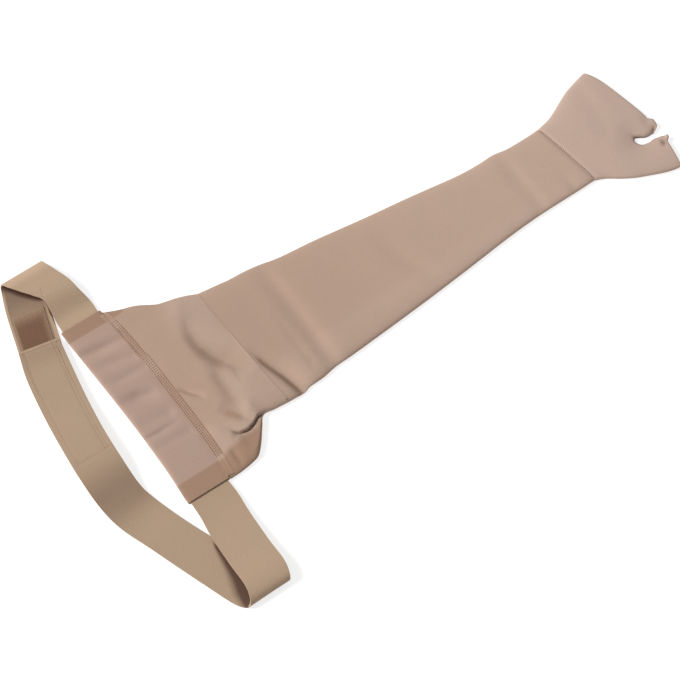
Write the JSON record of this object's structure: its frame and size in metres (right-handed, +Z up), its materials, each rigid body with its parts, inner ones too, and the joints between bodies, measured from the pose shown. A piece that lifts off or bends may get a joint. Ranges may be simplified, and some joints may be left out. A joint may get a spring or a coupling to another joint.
{
  "type": "compression arm sleeve",
  "caption": "Compression arm sleeve laid flat: tapered knitted arm tube, open hand piece with thumb tube, shoulder cap with stitched band, and an elastic chest strap closed by hook and loop.",
  "frame": {"origin": "middle of the footprint, on the surface the sleeve lies on", "axes": "+X along the arm from the shoulder to the fingers, +Y across the arm away from the thumb, +Z up"},
  "size_m": [0.7834, 0.4732, 0.015],
  "materials": {
    "arm_knit": "matte fine knit",
    "hand_knit": "matte fine knit",
    "cap_knit": "matte fine knit",
    "band_knit": "matte fine knit, doubled",
    "webbing": "matte ribbed elastic webbing",
    "hook_tape": "rough hook tape",
    "loop_tape": "brushed loop tape",
    "thread": "matte sewing thread"
  },
  "bodies": {
    "root": {"sleeve": "arm_knit", "gauntlet": "hand_knit", "shoulder_cap": "cap_knit", "cap_band": "band_knit", "strap_upper": "webbing", "strap_lower": "webbing", "hook_patch": "hook_tape", "loop_patch": "loop_tape"}
  },
  "joints": []
}
